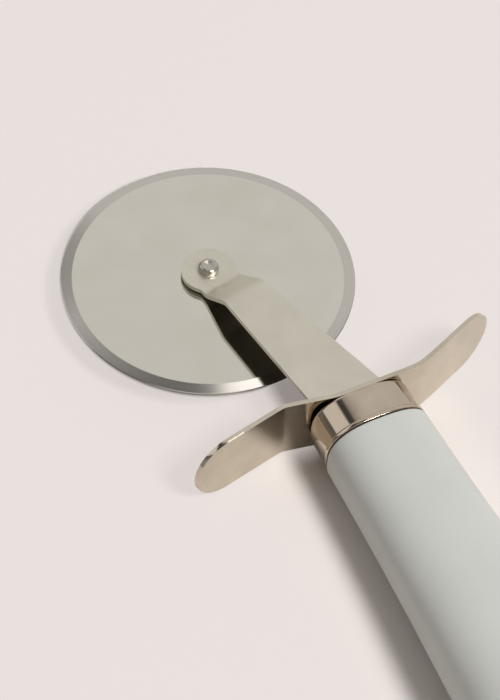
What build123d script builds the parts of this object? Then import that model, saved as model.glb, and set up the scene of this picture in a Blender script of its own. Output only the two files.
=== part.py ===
"""Pizza cutter with a spinning wheel, a one-sided bent arm, an S-shaped finger guard and an oval grip.

All lengths are in millimetres. While the pieces are made, the wheel's centre is at the origin, +X runs
along the handle towards the butt, +Y is the thumb's side and +Z is the wheel's axis. At the end the whole
tool is moved so that the origin is in the middle of its underside.
"""
import os
from math import cos, pi, radians, sin, sqrt, tan

from build123d import *

# Cutting wheel: a thin disc with a bevel ground on both faces
wheel_diameter = 80.0
wheel_thickness = 1.0
bevel_width = 2.3
rim_thickness = 0.25

# Bush pressed into the disc, and the axle that it turns on
axle_diameter = 4.0
bush_outer_diameter = 6.4
bush_stand_out = 0.35
running_clearance = 0.05
end_play = 0.05

# Washers between the bush and the arm's eye, and between the bush and the rivet's lower head
spacer_diameter = 14.0
spacer_thickness = 0.5
fit_clearance = 0.05

# Heads of the axle rivet, and the spigot that the lower one is set on
rivet_head_diameter = 5.6
rivet_head_height = 2.0
rivet_head_flat_diameter = 3.4
rivet_head_side = 0.6
rivet_spigot_diameter = 2.4

# Wheel arm, stamped and double bent from sheet
arm_angle = 12.4
arm_thickness = 1.4
eye_diameter = 14.8
neck_width = 11.2
shoulder_width = 12.6
arm_root_width = 18.9
first_bend_at = 6.4
second_bend_at = 14.9
arm_shoulder_height = 8.7
arm_root_height = 9.7
arm_bend_radius = 3.0
neck_blend_radius = 5.0
shoulder_blend_radius = 4.0

# Where the handle lies beside the wheel
axle_to_guard = 55.65
handle_offset = 15.95

# Finger guard: one strip of sheet with three bends and half-round ends
guard_thickness = 1.2
guard_height = 19.5
guard_left_lean = 12.4
guard_step_lean = 10.7
guard_right_lean = 22.5
guard_step_at = 6.45
guard_left_bend_at = 20.2
guard_right_bend_at = 18.15
guard_left_reach = 47.25
guard_right_reach = 44.95
guard_left_bend_radius = 8.0
guard_step_bend_radius = 14.0
guard_right_bend_radius = 18.0
guard_edge_round = 0.3

# Flange of the arm, and the rivets through flange, guard and ferrule, above and below the tang screw
flange_width = 10.4
flange_reach_below = 8.4
flange_corner_radius = 3.0
flange_rivet_diameter = 2.4
flange_rivet_spacing = 12.4
flange_rivet_head_diameter = 3.6
flange_rivet_head_height = 0.8

# Ferrule: a pressed oval cap with a rolled bead at its open end, flush with the grip
grip_front_width = 28.8
grip_front_height = 22.6
section_power = 2.65
ferrule_length = 10.4
ferrule_wall = 0.8
ferrule_front_round = 1.2
bead_width = 1.4
bead_height = 0.5
bead_round = 0.45

# Grip: an outer moulding over a rigid core
grip_gap = 0.3
grip_length = 102.0
grip_wall = 2.6
bond_gap = 0.1
core_nose_gap = 1.2

# Swell of the grip: shares of its length, and its width there as a share of its front width
swell_place_shares = (0.0, 0.16, 0.325, 0.5, 0.66, 0.78)
swell_width_shares = (1.0, 1.024, 1.06, 1.112, 1.172, 1.2)
butt_place_shares = (0.35, 0.6, 0.8, 0.93, 1.0)
butt_flat_share = 0.6

# Tang screw that pulls arm, guard and ferrule onto the core
screw_diameter = 4.0
screw_head_diameter = 7.0
screw_head_height = 2.6
screw_length = 46.0
screw_clearance = 0.2
socket_width = 2.5
socket_depth = 1.3
tang_washer_diameter = 8.0
tang_washer_thickness = 0.8
insert_diameter = 7.0
insert_length = 12.0
insert_end_gap = 3.0

# One overrun for every cut, and the number of points on an oval outline
overrun = 2.0
oval_points = 28

# Heights and places that follow from the sizes above
wheel_radius = wheel_diameter / 2
bush_half_length = wheel_thickness / 2 + bush_stand_out
spacer_foot = bush_half_length + end_play
eye_foot = spacer_foot + spacer_thickness
eye_top = eye_foot + arm_thickness
root_at = axle_to_guard / cos(radians(arm_angle))
flange_front = axle_to_guard - arm_thickness
flange_rivet_heights = (flange_rivet_spacing / 2, -flange_rivet_spacing / 2)
guard_half = guard_height / 2
guard_rear = axle_to_guard + guard_thickness
ferrule_inside = guard_rear + ferrule_wall
ferrule_rear = guard_rear + ferrule_length
core_front = ferrule_inside + flange_rivet_head_height + core_nose_gap
grip_front = ferrule_rear + grip_gap
grip_end = grip_front + grip_length
half_width = grip_front_width / 2
half_height = grip_front_height / 2
ferrule_half_width = half_width - bead_height
ferrule_half_height = half_height - bead_height
screw_head_back = flange_front - tang_washer_thickness
screw_tip = screw_head_back + screw_length
insert_start = screw_tip - insert_length


def disc(diameter, low, high):
    """Upright round bar between two heights."""
    return Pos(0, 0, (low + high) / 2) * Cylinder(diameter / 2, high - low)


def bar_x(diameter, start, end, y, z):
    """Round bar along X between two places."""
    return Pos((start + end) / 2, y, z) * Rot(0, 90, 0) * Cylinder(diameter / 2, end - start)


def onward(value, slope_rise, slope_run, run):
    """Value carried on along a straight slope."""
    return value + run * slope_rise / slope_run


def oval(x, wide, high):
    """Closed oval outline across the handle at x, a little squarer than an ellipse."""
    power = 2 / section_power
    points = []
    for step in range(oval_points):
        turn = 2 * pi * step / oval_points
        side, rise = cos(turn), sin(turn)
        y = wide * abs(side) ** power * (1 if side >= 0 else -1)
        z = high * abs(rise) ** power * (1 if rise >= 0 else -1)
        points.append(Vector(x, handle_offset + y, z))
    return Wire([Edge.make_spline(points, periodic=True)])


def oval_prism(start, end, wide, high):
    """Straight oval bar along the handle."""
    return extrude(Face(oval(start, wide, high)), end - start, dir=(1, 0, 0))


def front_edge(solid):
    """Outline of a bar's front face."""
    return solid.faces().sort_by(Axis.X)[0].edges()


def back_edge(solid):
    """Outline of a bar's rear face."""
    return solid.faces().sort_by(Axis.X)[-1].edges()


def cutting_wheel():
    """Disc with a bevel ground on both faces, and the bush's hole."""
    half, rim_half = wheel_thickness / 2, rim_thickness / 2
    bevel_start = wheel_radius - bevel_width
    hole = bush_outer_diameter / 2
    outline = Polyline(
        (hole, -half), (bevel_start, -half), (wheel_radius, -rim_half),
        (wheel_radius, rim_half), (bevel_start, half), (hole, half), close=True)
    return revolve(Plane.XZ * make_face(outline), Axis.Z)


def wheel_bush():
    """Plain sleeve pressed into the disc; it turns on the axle rivet."""
    sleeve = disc(bush_outer_diameter, -bush_half_length, bush_half_length)
    bore_end = bush_half_length + overrun
    return sleeve - disc(axle_diameter + 2 * running_clearance, -bore_end, bore_end)


def spacer_washer():
    """Washer between the bush's end and the arm's eye."""
    hole = disc(axle_diameter + 2 * fit_clearance, spacer_foot - overrun, eye_foot + overrun)
    return disc(spacer_diameter, spacer_foot, eye_foot) - hole


def rivet_head(foot):
    """Round head with a short upright side, a curved shoulder and a flat top, standing at a height."""
    side, flat = rivet_head_diameter / 2, rivet_head_flat_diameter / 2
    shoulder, top = foot + rivet_head_side, foot + rivet_head_height
    outline = Curve() + [
        Line((0, foot), (side, foot)),
        Line((side, foot), (side, shoulder)),
        Bezier((side, shoulder), (side, top), (flat, top)),
        Line((flat, top), (0, top)),
        Line((0, top), (0, foot))]
    return revolve(Plane.XZ * make_face(outline), Axis.Z)


def axle_rivet():
    """Upper head on the arm's eye, full shank through eye and bush, and the spigot for the lower head."""
    shank = disc(axle_diameter, -eye_foot, eye_top)
    spigot = disc(rivet_spigot_diameter, -eye_foot - rivet_head_height, -eye_foot)
    return rivet_head(eye_top) + shank + spigot


def axle_rivet_cap():
    """Lower head, set on the spigot against the lower washer."""
    hole = disc(rivet_spigot_diameter, -eye_foot - rivet_head_height - overrun, 0)
    return mirror(rivet_head(eye_foot), Plane.XY) - hole


def guard_strip():
    """Front line of the bent strip and its plan face, both a little longer than the guard."""
    left_end, right_end = guard_left_reach + overrun, guard_right_reach + overrun
    step_rise = (guard_left_bend_at - guard_step_at) * tan(radians(guard_step_lean))
    left_rise = (left_end - guard_left_bend_at) * tan(radians(guard_left_lean))
    right_rise = (right_end - guard_right_bend_at) * tan(radians(guard_right_lean))
    corners = [
        (axle_to_guard - step_rise + left_rise, handle_offset - left_end),
        (axle_to_guard - step_rise, handle_offset - guard_left_bend_at),
        (axle_to_guard, handle_offset - guard_step_at),
        (axle_to_guard, handle_offset + guard_right_bend_at),
        (axle_to_guard - right_rise, handle_offset + right_end)]
    radii = [guard_left_bend_radius, guard_step_bend_radius, guard_right_bend_radius]
    front = Wire(FilletPolyline(*corners, radius=radii).edges())
    return front, Face(front.offset_2d(guard_thickness, side=Side.RIGHT, closed=True))


def behind_guard():
    """Everything behind the guard's front line, which trims the arm."""
    front, _ = guard_strip()
    start, end = front @ 0, front @ 1
    far = grip_end
    rest = Polyline(end, (far, end.Y), (far, start.Y), start)
    area = make_face(Curve() + front.edges() + rest.edges())
    return extrude(area, guard_height, both=True)


def finger_guard():
    """Bent strip with half-round ends, the flange rivets' holes and the tang screw's hole."""
    _, plan = guard_strip()
    strip = extrude(plan, guard_half, both=True)
    left_end = guard_half * cos(radians(guard_left_lean))
    right_end = guard_half * cos(radians(guard_right_lean))
    left = handle_offset - guard_left_reach + left_end
    right = handle_offset + guard_right_reach - right_end
    side = Pos((left + right) / 2, 0) * Rectangle(right - left, guard_height)
    side += Pos(left, 0) * Ellipse(left_end, guard_half)
    side += Pos(right, 0) * Ellipse(right_end, guard_half)
    elevation = extrude(Plane.YZ * side, wheel_diameter + axle_to_guard)
    strip = strip & elevation
    outline = strip.edges().filter_by(Axis.Z, reverse=True)
    strip = fillet([edge for edge in outline if edge.length > 2 * guard_thickness], guard_edge_round)
    for hole in flange_rivet_shanks(flange_rivet_diameter + 2 * fit_clearance):
        strip -= hole
    return strip - bar_x(screw_diameter + 2 * screw_clearance, 0, grip_end, handle_offset, 0)


def flange_rivet_shanks(diameter):
    """Round bars through flange, guard and ferrule, one above and one below the tang screw."""
    return [bar_x(diameter, flange_front, ferrule_inside, handle_offset, z) for z in flange_rivet_heights]


def flange_rivets():
    """Two rivets, each with a low head at both ends."""
    head_front = flange_front - flange_rivet_head_height
    tail = ferrule_inside + flange_rivet_head_height
    rivets = []
    for z in flange_rivet_heights:
        rivet = bar_x(flange_rivet_diameter, flange_front, ferrule_inside, handle_offset, z)
        rivet += bar_x(flange_rivet_head_diameter, head_front, flange_front, handle_offset, z)
        rivet += bar_x(flange_rivet_head_diameter, ferrule_inside, tail, handle_offset, z)
        rivets.append(rivet)
    return rivets


def wheel_arm():
    """Flat eye, double bend, long tapered strip and a flange turned down against the guard."""
    end = root_at + arm_root_width
    rise = arm_root_height - arm_shoulder_height
    run = root_at - second_bend_at
    end_height = onward(arm_root_height, rise, run, end - root_at)
    top = FilletPolyline(
        (-eye_diameter, eye_top), (first_bend_at, eye_top), (second_bend_at, arm_shoulder_height),
        (end, end_height), radius=[arm_bend_radius, arm_bend_radius + arm_thickness])
    side_face = Face(Wire(top.edges()).offset_2d(arm_thickness, side=Side.RIGHT, closed=True))
    bent = extrude(Plane.XZ * side_face, arm_root_width, both=True)

    widening = (arm_root_width - shoulder_width) / 2
    end_half = onward(arm_root_width / 2, widening, run, end - root_at)
    neck, shoulder = neck_width / 2, shoulder_width / 2
    blade = make_face(Polyline(
        (0, neck), (second_bend_at, shoulder), (end, end_half),
        (end, -end_half), (second_bend_at, -shoulder), (0, -neck), close=True))
    plan = Circle(eye_diameter / 2) + blade
    throats = [v for v in plan.vertices() if 0 < v.X < first_bend_at]
    plan = fillet(throats, neck_blend_radius)
    shoulders = [v for v in plan.vertices() if abs(v.X - second_bend_at) < overrun / 2]
    plan = fillet(shoulders, shoulder_blend_radius)
    arm = bent & extrude(plan, guard_height)
    arm -= disc(axle_diameter, -overrun, eye_top + overrun)
    arm = Rot(0, 0, arm_angle) * arm - behind_guard()

    flange_top = arm_root_height - arm_thickness / 2
    flange_height = flange_top + flange_reach_below
    middle = Pos(axle_to_guard - arm_thickness / 2, handle_offset, flange_top - flange_height / 2)
    flange = middle * Box(arm_thickness, flange_width, flange_height)
    lower_corners = flange.edges().filter_by(Axis.X).group_by(Axis.Z)[0]
    arm += fillet(lower_corners, flange_corner_radius)
    for hole in flange_rivet_shanks(flange_rivet_diameter):
        arm -= hole
    return arm - bar_x(screw_diameter + 2 * screw_clearance, 0, grip_end, handle_offset, 0)


def ferrule():
    """Oval cap, open at the back behind its bead, with holes for the rivets and the screw."""
    outside = oval_prism(guard_rear, ferrule_rear, ferrule_half_width, ferrule_half_height)
    outside = fillet(front_edge(outside), ferrule_front_round)
    bead = oval_prism(ferrule_rear - bead_width, ferrule_rear, half_width, half_height)
    bead = fillet(front_edge(bead) + back_edge(bead), bead_round)
    inside = oval_prism(
        ferrule_inside, ferrule_rear + overrun,
        ferrule_half_width - ferrule_wall, ferrule_half_height - ferrule_wall)
    inside = fillet(front_edge(inside), ferrule_front_round - ferrule_wall)
    cap = outside + bead - inside
    for hole in flange_rivet_shanks(flange_rivet_diameter):
        cap -= hole
    return cap - bar_x(screw_diameter + 2 * screw_clearance, 0, grip_end, handle_offset, 0)


def grip_stations(wall, front, end):
    """Ovals of the swelling grip between two places, each inside the outer skin by the wall."""
    stations = list(zip(swell_place_shares, swell_width_shares))
    dome_start, dome_width = stations[-1]
    dome_end = sqrt(1 - butt_flat_share ** 2)
    for share in butt_place_shares:
        place = dome_start + share * (1 - dome_start)
        stations.append((place, dome_width * sqrt(1 - (share * dome_end) ** 2)))
    return [
        (front + place * (end - front), width * half_width - wall, width * half_height - wall)
        for place, width in stations]


def oval_loft(stations):
    """Smooth solid through a row of ovals."""
    return Solid.make_loft([oval(*station) for station in stations])


def handle_core():
    """Rigid core: a spigot inside the ferrule, then the body that the grip is moulded over."""
    inset = ferrule_wall + bond_gap
    nose = oval_prism(core_front, grip_front, ferrule_half_width - inset, ferrule_half_height - inset)
    wall = grip_wall + bond_gap
    core = nose + oval_loft(grip_stations(wall, grip_front, grip_end - wall))
    core -= bar_x(screw_diameter + 2 * screw_clearance, 0, insert_start, handle_offset, 0)
    core -= bar_x(insert_diameter, insert_start, screw_tip + insert_end_gap, handle_offset, 0)
    return core


def handle_grip():
    """Outer moulding: an oval skin that swells towards the palm and closes over the butt."""
    outside = oval_loft(grip_stations(0, grip_front, grip_end))
    inside = oval_loft(grip_stations(grip_wall, grip_front, grip_end - grip_wall))
    return outside - inside


def tang_washer():
    """Washer between the screw's head and the arm's flange."""
    ring = bar_x(tang_washer_diameter, screw_head_back, flange_front, handle_offset, 0)
    return ring - bar_x(screw_diameter + 2 * screw_clearance, 0, grip_end, handle_offset, 0)


def tang_screw():
    """Long screw with a round head and a hexagon socket."""
    head_front = screw_head_back - screw_head_height
    screw = bar_x(screw_head_diameter, head_front, screw_head_back, handle_offset, 0)
    screw += bar_x(screw_diameter, screw_head_back, screw_tip, handle_offset, 0)
    socket = Plane((head_front, handle_offset, 0), x_dir=(0, 1, 0), z_dir=(1, 0, 0))
    hexagon = socket * RegularPolygon(socket_width / 2, 6, major_radius=False)
    return screw - extrude(hexagon, socket_depth)


def tang_insert():
    """Threaded insert, held in the core."""
    sleeve = bar_x(insert_diameter, insert_start, screw_tip, handle_offset, 0)
    return sleeve - bar_x(screw_diameter, insert_start - overrun, screw_tip + overrun, handle_offset, 0)


upper_spacer = spacer_washer()
pieces = {
    "cutting_wheel": cutting_wheel(),
    "wheel_bush": wheel_bush(),
    "upper_spacer_washer": upper_spacer,
    "lower_spacer_washer": mirror(upper_spacer, Plane.XY),
    "axle_rivet": axle_rivet(),
    "axle_rivet_cap": axle_rivet_cap(),
    "wheel_arm": wheel_arm(),
    "finger_guard": finger_guard(),
    "flange_rivets": Compound(flange_rivets()),
    "tang_screw": tang_screw(),
    "tang_washer": tang_washer(),
    "tang_insert": tang_insert(),
    "ferrule": ferrule(),
    "handle_core": handle_core(),
    "handle_grip": handle_grip(),
}

# The origin goes to the middle of the underside
box = Compound(list(pieces.values())).bounding_box()
to_underside = Pos(-(box.min.X + box.max.X) / 2, -(box.min.Y + box.max.Y) / 2, -box.min.Z)

os.makedirs("parts", exist_ok=True)
for name, piece in pieces.items():
    export_step(to_underside * piece, f"parts/{name}.step")
print("wheel centre", to_underside.position)
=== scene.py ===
# %% [markdown]
# # A pizza cutter on a pale table
# This lesson dresses a finished construction model of a pizza cutter: a thin ground wheel that turns under
# one arm of bent sheet, an S-shaped finger guard, a polished ferrule and a soft oval grip. The construction
# model gives the exact places, and nothing in it is moved. Each step makes one real piece or one real finish.

# %% Load the construction model
import math

import bmesh
import bpy
from mathutils import Matrix, Vector


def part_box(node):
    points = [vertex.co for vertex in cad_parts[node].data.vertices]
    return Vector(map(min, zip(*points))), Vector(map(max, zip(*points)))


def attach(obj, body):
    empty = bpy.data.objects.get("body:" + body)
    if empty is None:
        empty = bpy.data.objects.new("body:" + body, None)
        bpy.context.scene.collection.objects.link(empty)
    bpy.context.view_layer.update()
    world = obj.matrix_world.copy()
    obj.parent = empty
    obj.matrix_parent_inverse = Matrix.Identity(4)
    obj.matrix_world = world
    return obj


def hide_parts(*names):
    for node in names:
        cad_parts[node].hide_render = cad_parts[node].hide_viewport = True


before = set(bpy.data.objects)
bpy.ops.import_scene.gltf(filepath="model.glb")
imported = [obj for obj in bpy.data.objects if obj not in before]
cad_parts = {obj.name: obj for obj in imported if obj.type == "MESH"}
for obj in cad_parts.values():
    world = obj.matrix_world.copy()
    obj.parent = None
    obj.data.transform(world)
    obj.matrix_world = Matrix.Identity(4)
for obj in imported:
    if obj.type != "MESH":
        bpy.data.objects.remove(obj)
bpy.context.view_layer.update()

MM = 0.001

# %% [markdown]
# Every place in the scene is measured from the wheel's centre, with X along the handle and Z along the
# axle, because that is how the tool was measured. The centre comes from the wheel's own box.

# %% The wheel's centre
low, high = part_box("cutting_wheel")
HUB = (low + high) / 2


def at(x, y, z):
    """A place in millimetres from the wheel's centre, as a scene position in metres."""
    return HUB + Vector((x, y, z)) * MM


print("hub", HUB)

# %% [markdown]
# ## Camera
# The wheel is a true circle that the photograph shows as an ellipse. The ellipse's shape gives the tilt, and
# the arm's direction gives the turn. The camera looks down by 50 degrees and stands about half a metre away.
# Its three axes are built one after another: level view, a small roll, then a small swing that puts the hub
# where the photograph shows it.

# %% Place the camera
FOCAL_PX = 2000.0
TILT = 0.875951519
TURN = 1.10968034
ROLL = 0.0326772369
DISTANCE_MM = 543.317
HUB_PX = (207.698, 275.530)
MIDDLE_PX = (249.5, 349.5)
PICTURE_HEIGHT_PX = 700

right = Vector((math.cos(TURN), math.sin(TURN), 0))
near = Vector((math.sin(TURN), -math.cos(TURN), 0))
up = Vector((0, 0, 1))
down = near * math.sin(TILT) - up * math.cos(TILT)
ahead = -(near * math.cos(TILT) + up * math.sin(TILT))
rolled_right = right * math.cos(ROLL) - down * math.sin(ROLL)
rolled_down = right * math.sin(ROLL) + down * math.cos(ROLL)
offsets_px = [hub - middle for hub, middle in zip(HUB_PX, MIDDLE_PX)]
hub_ray = Vector((offsets_px[0] / FOCAL_PX, offsets_px[1] / FOCAL_PX, 1)).normalized()
swing = Vector((0, 0, 1)).rotation_difference(hub_ray).to_matrix()
axes = [rolled_right * row[0] + rolled_down * row[1] + ahead * row[2] for row in swing]

camera_data = bpy.data.cameras.new("camera")
camera_data.sensor_width = 36.0
camera_data.lens = FOCAL_PX * camera_data.sensor_width / PICTURE_HEIGHT_PX
camera_data.clip_start = 0.01
camera = bpy.data.objects.new("camera", camera_data)
bpy.context.scene.collection.objects.link(camera)
basis = Matrix((axes[0], -axes[1], -axes[2])).transposed().to_4x4()
basis.translation = HUB - ahead * DISTANCE_MM * MM
camera.matrix_world = basis
bpy.context.scene.camera = camera
print("lens", round(camera_data.lens, 2), "camera at", basis.translation)

# %% [markdown]
# ## Small tools for materials
# Colours are written as the hex values that a paint program shows. The renderer works in linear light, so one
# function converts them. A second function adds one node with its settings, its fixed values and its links.
# A Mix node has a set of sockets for each kind of value, so its sockets are told by number: 2 and 3 for plain
# values, 6 and 7 for colours. A noise pattern stays mostly between 0.3 and 0.7, so the ramp from the darker
# to the lighter shade runs between these two.

# %% Colour and node helpers
PATTERN_ENDS = (0.3, 0.7)


def linear(hex_colour):
    """An sRGB hex colour as linear red, green, blue and alpha."""
    channels = [int(hex_colour[i:i + 2], 16) / 255 for i in (1, 3, 5)]
    return tuple(c / 12.92 if c <= 0.04045 else ((c + 0.055) / 1.055) ** 2.4 for c in channels) + (1.0,)


def add_node(tree, kind, settings=None, values=None, links=None):
    """One node with its settings, its fixed input values and its incoming links."""
    node = tree.nodes.new(kind)
    for name, value in (settings or {}).items():
        setattr(node, name, value)
    for name, value in (values or {}).items():
        node.inputs[name].default_value = value
    for name, socket in (links or {}).items():
        tree.links.new(socket, node.inputs[name])
    return node


def new_material(name):
    """An empty node material and its tree."""
    material = bpy.data.materials.new(name)
    material.use_nodes = True
    material.node_tree.nodes.clear()
    return material, material.node_tree


def shades(tree, pattern, dark, light):
    """Two close shades of one colour, laid out by a pattern."""
    ramp = add_node(tree, "ShaderNodeValToRGB", links={"Fac": pattern})
    for end, place, shade in zip(ramp.color_ramp.elements, PATTERN_ENDS, (dark, light)):
        end.position = place
        end.color = linear(shade)
    return ramp.outputs["Color"]


print("floor colour in linear light", linear("#E9E1DD"))

# %% [markdown]
# ## Polished stainless sheet
# The arm and the guard are cut from stainless sheet. The guard and the ferrule are polished to a mirror with
# a faint haze. The arm is only tumbled with fine stones, which leaves a soft sheen without clear reflections.
# The warm tone belongs to the alloy. The washers and the screw are plain zinc-plated steel, greyer and
# duller. One function makes them all, because they differ only in tone, haze and depth. The haze has patches
# a few millimetres wide, and hairlines well under a millimetre, drawn coarser than they are so that they
# show. On the arm, faces turned down are left unpolished, so they are rougher. They also get a painted shade:
# two dark colours that stand in for the shade under the arm, so that the wheel mirrors it as a dark band. The
# painted shade fades in a few millimetres past the eye.

# %% Polished stainless sheet
ARM_ANGLE = math.radians(12.4)
ARM_WAY = Vector((math.cos(ARM_ANGLE), math.sin(ARM_ANGLE), 0))
HAIRLINE_MM = 0.35
# Distances past the eye over which the painted shade on the arm's underside fades in.
SHADE_FADE_IN_MM = (5.5, 8.5)
TURNED_DOWN = (-0.3, -0.6)
ROLLED_ROUGHNESS = 0.55


def bright_metal(name, dark, light, rough_low, rough_high, haze_mm, bump_mm, shaded_underside=None):
    """Metal with hazy patches and fine hairlines, and if asked a painted shade of two dark colours on faces
    turned down.
    """
    material, tree = new_material(name)
    place = add_node(tree, "ShaderNodeTexCoord").outputs["Object"]
    haze = add_node(
        tree, "ShaderNodeTexNoise", values={"Scale": 1 / (haze_mm * MM), "Detail": 3.0, "Roughness": 0.55},
        links={"Vector": place})
    grain = add_node(
        tree, "ShaderNodeTexNoise", values={"Scale": 1 / (HAIRLINE_MM * MM), "Detail": 2.0, "Roughness": 0.6},
        links={"Vector": place})
    rough = add_node(
        tree, "ShaderNodeMapRange", values={"To Min": rough_low, "To Max": rough_high},
        links={"Value": haze.outputs["Fac"]})
    bump = add_node(
        tree, "ShaderNodeBump", values={"Strength": 0.12, "Distance": bump_mm * MM},
        links={"Height": grain.outputs["Fac"]})
    colour, roughness = shades(tree, haze.outputs["Fac"], dark, light), rough.outputs["Result"]
    # Painted shade: faces turned down past the eye get two dark colours for the shade under the arm, and a
    # rougher finish.
    if shaded_underside:
        facing = add_node(tree, "ShaderNodeNewGeometry").outputs["True Normal"]
        tilt = add_node(tree, "ShaderNodeSeparateXYZ", links={"Vector": facing}).outputs["Z"]
        underside_shade = add_node(
            tree, "ShaderNodeMapRange",
            values={"From Min": TURNED_DOWN[0], "From Max": TURNED_DOWN[1]},
            links={"Value": tilt}).outputs["Result"]
        along_arm = add_node(tree, "ShaderNodeVectorMath", {"operation": "DOT_PRODUCT"}, links={0: place})
        along_arm.inputs[1].default_value = ARM_WAY
        start = HUB.dot(ARM_WAY)
        past_eye = add_node(
            tree, "ShaderNodeMapRange",
            values={"From Min": start + SHADE_FADE_IN_MM[0] * MM, "From Max": start + SHADE_FADE_IN_MM[1] * MM},
            links={"Value": along_arm.outputs["Value"]}).outputs["Result"]
        underside_shade = add_node(
            tree, "ShaderNodeMath", {"operation": "MULTIPLY"}, links={0: underside_shade, 1: past_eye}).outputs[0]
        painted_underside_colour = shades(tree, grain.outputs["Fac"], *shaded_underside)
        colour = add_node(
            tree, "ShaderNodeMix", {"data_type": "RGBA"}, links={0: underside_shade, 6: colour, 7: painted_underside_colour}).outputs[2]
        roughness = add_node(
            tree, "ShaderNodeMix", values={3: ROLLED_ROUGHNESS}, links={0: underside_shade, 2: roughness}).outputs[0]
    steel = add_node(
        tree, "ShaderNodeBsdfPrincipled", values={"Metallic": 1.0},
        links={"Base Color": colour, "Roughness": roughness, "Normal": bump.outputs["Normal"]})
    add_node(tree, "ShaderNodeOutputMaterial", links={"Surface": steel.outputs["BSDF"]})
    return material


# The arm's last two colours are painted shade for its underside.
arm_steel = bright_metal(
    "tumbled_stainless_sheet", "#CECABC", "#D6D1C4", 0.44, 0.52, 9, 0.004, ("#625D55", "#6E6960"))
guard_steel = bright_metal("polished_stainless_guard", "#BFB7A6", "#CBC3B4", 0.06, 0.16, 7, 0.02)
ferrule_steel = bright_metal("polished_stainless_ferrule", "#BBAD9C", "#C3B6A6", 0.07, 0.13, 6, 0.01)
plain_steel = bright_metal("plain_zinc_plated_steel", "#BBBBB8", "#CDCCC8", 0.25, 0.42, 3, 0.02)
print("sheet materials", arm_steel.name, guard_steel.name, ferrule_steel.name, plain_steel.name)

# %% [markdown]
# ## Ground wheel steel
# The wheel is one disc of hardened stainless. Its flat is fine polished, and its bevel is ground by a stone
# that leaves lines running round the rim, drawn coarser than they are so that they show. One material does
# both: the distance from the axle says which finish a point has, so the pattern turns with the wheel.

# %% Ground wheel steel
BEVEL_INNER_MM = 36.9
CORNER_MM = 0.05
GROUND_LINE_MM, PATCH_MM, GRIT_MM = 0.22, 14, 0.4


def ground_wheel():
    """Polished flat inside the bevel's inner edge and ground lines outside it."""
    material, tree = new_material("ground_stainless_wheel")
    place = add_node(tree, "ShaderNodeTexCoord").outputs["Object"]
    centred = add_node(tree, "ShaderNodeVectorMath", {"operation": "SUBTRACT"}, links={0: place})
    centred.inputs[1].default_value = HUB
    flat = add_node(
        tree, "ShaderNodeVectorMath", {"operation": "MULTIPLY"}, {1: (1, 1, 0)}, {0: centred.outputs[0]})
    radius = add_node(tree, "ShaderNodeVectorMath", {"operation": "LENGTH"}, links={0: flat.outputs[0]})
    on_bevel = add_node(
        tree, "ShaderNodeMapRange",
        values={"From Min": (BEVEL_INNER_MM - CORNER_MM) * MM, "From Max": (BEVEL_INNER_MM + CORNER_MM) * MM},
        links={"Value": radius.outputs["Value"]})
    lines = add_node(
        tree, "ShaderNodeTexNoise", {"noise_dimensions": "1D"},
        {"Scale": 1 / (GROUND_LINE_MM * MM), "Detail": 3.0, "Roughness": 0.7}, {"W": radius.outputs["Value"]})
    patches = add_node(
        tree, "ShaderNodeTexNoise", values={"Scale": 1 / (PATCH_MM * MM), "Detail": 2.0},
        links={"Vector": place})
    grit = add_node(
        tree, "ShaderNodeTexNoise", values={"Scale": 1 / (GRIT_MM * MM), "Detail": 2.0},
        links={"Vector": place})
    flat_colour = shades(tree, patches.outputs["Fac"], "#D1CDC3", "#D6D2C9")
    bevel_colour = shades(tree, lines.outputs["Fac"], "#BBB6AF", "#CDC9C4")
    colour = add_node(
        tree, "ShaderNodeMix", {"data_type": "RGBA"},
        links={0: on_bevel.outputs["Result"], 6: flat_colour, 7: bevel_colour})
    flat_rough = add_node(
        tree, "ShaderNodeMapRange", values={"To Min": 0.06, "To Max": 0.12},
        links={"Value": patches.outputs["Fac"]})
    bevel_rough = add_node(
        tree, "ShaderNodeMapRange", values={"To Min": 0.08, "To Max": 0.18},
        links={"Value": lines.outputs["Fac"]})
    rough = add_node(
        tree, "ShaderNodeMix",
        links={0: on_bevel.outputs["Result"], 2: flat_rough.outputs["Result"],
               3: bevel_rough.outputs["Result"]})
    relief = add_node(
        tree, "ShaderNodeMix",
        links={0: on_bevel.outputs["Result"], 2: grit.outputs["Fac"], 3: lines.outputs["Fac"]})
    bump = add_node(
        tree, "ShaderNodeBump", values={"Strength": 0.12, "Distance": 0.01 * MM},
        links={"Height": relief.outputs["Result"]})
    steel = add_node(
        tree, "ShaderNodeBsdfPrincipled", values={"Metallic": 1.0},
        links={"Base Color": colour.outputs[2], "Roughness": rough.outputs["Result"],
               "Normal": bump.outputs["Normal"]})
    add_node(tree, "ShaderNodeOutputMaterial", links={"Surface": steel.outputs["BSDF"]})
    return material


wheel_steel = ground_wheel()
print("bevel starts at", BEVEL_INNER_MM, "mm")

# %% [markdown]
# ## Rivets, brass, and the two plastics
# Rivet heads are bright chrome-like steel, pressed by a polished tool. The bush and the insert are turned
# brass. The core is a black moulded plastic that only shows as a fine line, and the grip is a soft rubber
# moulded over it: matte, with a very fine grain that spreads the light, drawn coarser than it is.

# %% Rivet steel and brass
rivet_steel = bright_metal("pressed_bright_rivet", "#AFAAA3", "#BCB7B0", 0.12, 0.2, 2, 0.01)
turned_brass = bright_metal("turned_brass", "#C79F55", "#D8B367", 0.18, 0.3, 2, 0.02)
print("small metals", rivet_steel.name, turned_brass.name)

# %% Moulded plastics
ROUGHNESS_SPREAD = 0.04


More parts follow.
